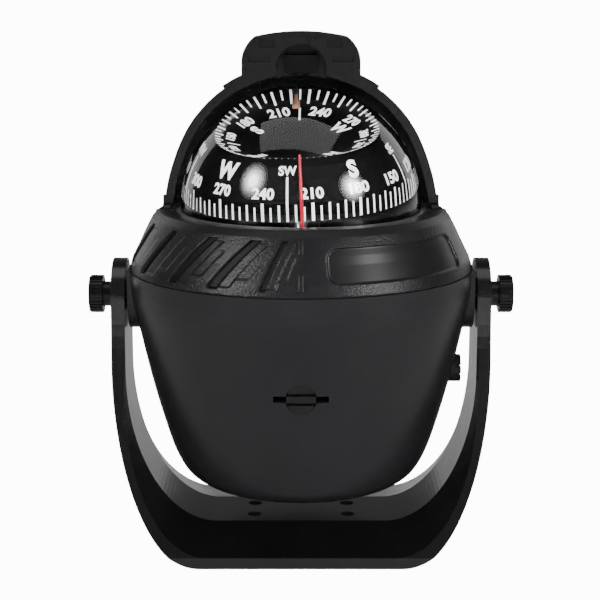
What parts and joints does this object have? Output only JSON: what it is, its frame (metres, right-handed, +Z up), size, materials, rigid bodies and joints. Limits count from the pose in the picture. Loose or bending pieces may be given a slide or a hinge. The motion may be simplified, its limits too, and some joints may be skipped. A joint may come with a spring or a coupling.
{
  "type": "binnacle compass",
  "caption": "Domed liquid-filled compass with a drum card, a tilting hood and correction adjusters, hung between the arms of a flared U bracket.",
  "frame": {"origin": "centre of the bracket base's underside", "axes": "+Z up, +X along the tilt axis towards the side adjuster, -Y towards the user who reads the card"},
  "size_m": [0.105, 0.0848, 0.1266],
  "materials": {
    "satin_black": "satin moulded plastic",
    "grained_black": "fine grained moulded plastic",
    "inner_black": "matte moulded plastic",
    "card_black": "smooth matte",
    "white_float": "smooth",
    "clear_acrylic": "clear polished",
    "lamp_lens": "translucent",
    "black_rubber": "matte",
    "bright_steel": "nickel plated",
    "brass": "turned",
    "lead_grey": "plain",
    "red_lubber": "gloss paint",
    "tan_lubber": "satin"
  },
  "bodies": {
    "bracket": {"bracket": "satin_black"},
    "bowl": {"bowl": "satin_black", "collar": "grained_black", "dome": "clear_acrylic", "dome_seal": "black_rubber", "dome_gasket": "black_rubber", "capsule": "inner_black", "clamp_ring": "inner_black", "clamp_screws": "bright_steel", "diaphragm": "black_rubber", "diaphragm_ring": "inner_black", "filler_plug": "brass", "threaded_inserts": "brass", "friction_washers": "inner_black", "adjuster_block": "inner_black", "wire_grommet": "black_rubber", "hood_pins": "bright_steel", "gimbal_pins": "bright_steel"},
    "hood": {"hood": "satin_black", "lamp_holder": "inner_black", "lamp_lens": "lamp_lens"},
    "gimbal_ring": {"gimbal_ring": "inner_black"},
    "yoke": {"yoke": "inner_black", "yoke_pins": "bright_steel", "counterweight": "lead_grey", "pivot_post": "bright_steel", "front_lubber": "red_lubber", "rear_lubber": "tan_lubber"},
    "card": {"card_dial": "card_black", "card_skirt": "card_black", "card_float": "white_float", "jewel_cup": "brass", "card_magnets": "lead_grey"},
    "left_knob": {"left_knob": "satin_black", "left_stud": "bright_steel"},
    "right_knob": {"right_knob": "satin_black", "right_stud": "bright_steel"},
    "front_adjuster": {"front_adjuster": "inner_black", "front_magnet": "lead_grey"},
    "side_adjuster": {"side_adjuster": "inner_black", "side_magnet": "lead_grey"}
  },
  "joints": [
    {"name": "bowl_tilt", "type": "hinge", "parent": "bracket", "child": "bowl", "pos_m": [0, 0, 0.062], "axis": [1, 0, 0], "range_deg": [-90, 90]},
    {"name": "hood_tilt", "type": "hinge", "parent": "bowl", "child": "hood", "pos_m": [0, 0, 0.0826], "axis": [1, 0, 0], "range_deg": [0, 70]},
    {"name": "gimbal_pitch", "type": "hinge", "parent": "bowl", "child": "gimbal_ring", "pos_m": [0, 0, 0.08], "axis": [1, 0, 0], "range_deg": [-12, 12]},
    {"name": "gimbal_roll", "type": "hinge", "parent": "gimbal_ring", "child": "yoke", "pos_m": [0, 0, 0.08], "axis": [0, 0.9987, 0.0506], "range_deg": [-12, 12]},
    {"name": "card_turn", "type": "hinge", "parent": "yoke", "child": "card", "pos_m": [0, 0, 0.08], "axis": [-0.0419, -0.0505, 0.9978], "continuous": true},
    {"name": "left_knob_turn", "type": "hinge", "parent": "bowl", "child": "left_knob", "pos_m": [-0.05, 0, 0.062], "axis": [-1, 0, 0], "range_deg": [0, 720]},
    {"name": "right_knob_turn", "type": "hinge", "parent": "bowl", "child": "right_knob", "pos_m": [0.05, 0, 0.062], "axis": [1, 0, 0], "range_deg": [0, 720]},
    {"name": "front_adjuster_turn", "type": "hinge", "parent": "bowl", "child": "front_adjuster", "pos_m": [0, -0.036, 0.0447], "axis": [0, -1, 0], "continuous": true},
    {"name": "side_adjuster_turn", "type": "hinge", "parent": "bowl", "child": "side_adjuster", "pos_m": [0.038, 0, 0.043], "axis": [1, 0, 0], "continuous": true}
  ]
}
